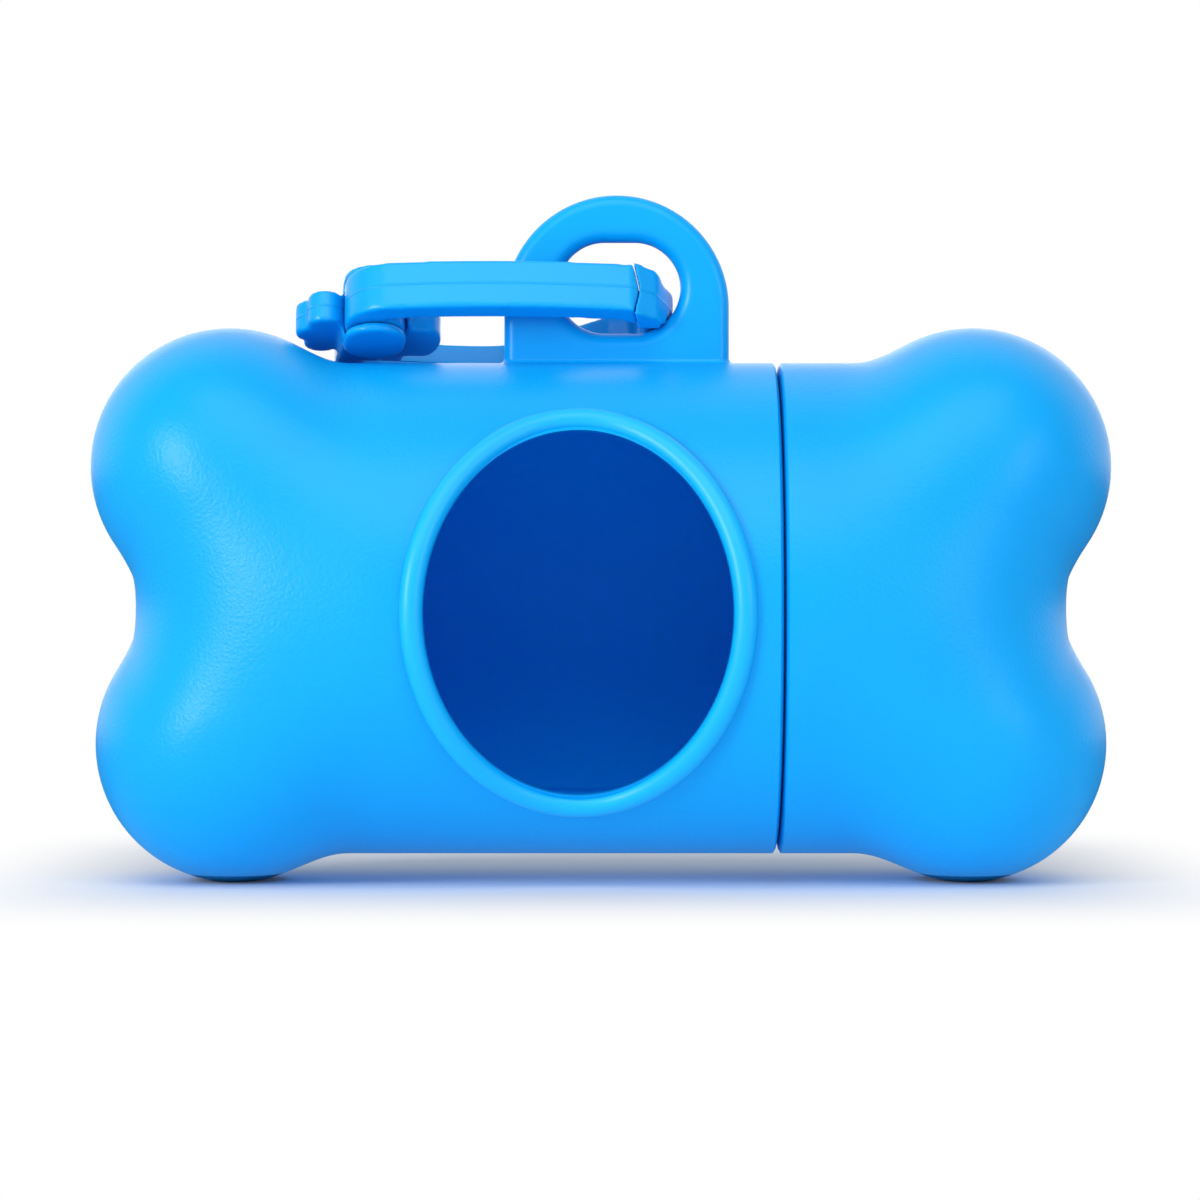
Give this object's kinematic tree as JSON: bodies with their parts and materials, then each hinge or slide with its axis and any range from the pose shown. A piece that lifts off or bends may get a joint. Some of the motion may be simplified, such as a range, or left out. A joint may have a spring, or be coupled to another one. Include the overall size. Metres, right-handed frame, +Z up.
{
  "type": "waste bag dispenser",
  "caption": "Bone-shaped plastic holder for a roll of pet waste bags, with an oval bag window, a pull-off end, a hanging loop and a snap clip.",
  "frame": {"origin": "on the resting surface, below the middle of the tube", "axes": "+X along the bone towards the cap, +Y from the window to the back, +Z up towards the hanging loop"},
  "size_m": [0.0846, 0.0416, 0.0569],
  "materials": {
    "shell": "satin, fine grain",
    "clip": "glossy"
  },
  "bodies": {
    "body": {"body_shell": "shell"},
    "cap": {"end_cap": "shell"},
    "clip": {"clip_frame": "clip"},
    "gate": {"clip_gate": "clip"}
  },
  "joints": [
    {"name": "cap_pull", "type": "slide", "parent": "body", "child": "cap", "axis": [1, 0, 0], "range_m": [0, 0.03]},
    {"name": "clip_swing", "type": "hinge", "parent": "body", "child": "clip", "pos_m": [0.0028, 0, 0.04925], "axis": [0, 1, 0], "range_deg": [0, 180]},
    {"name": "gate_open", "type": "hinge", "parent": "clip", "child": "gate", "pos_m": [-0.01877, -0.00074, 0.04747], "axis": [-0.0135, 0.3435, 0.9391], "range_deg": [0, 1.8], "stiffness_Nm_per_rad": 0.02}
  ]
}
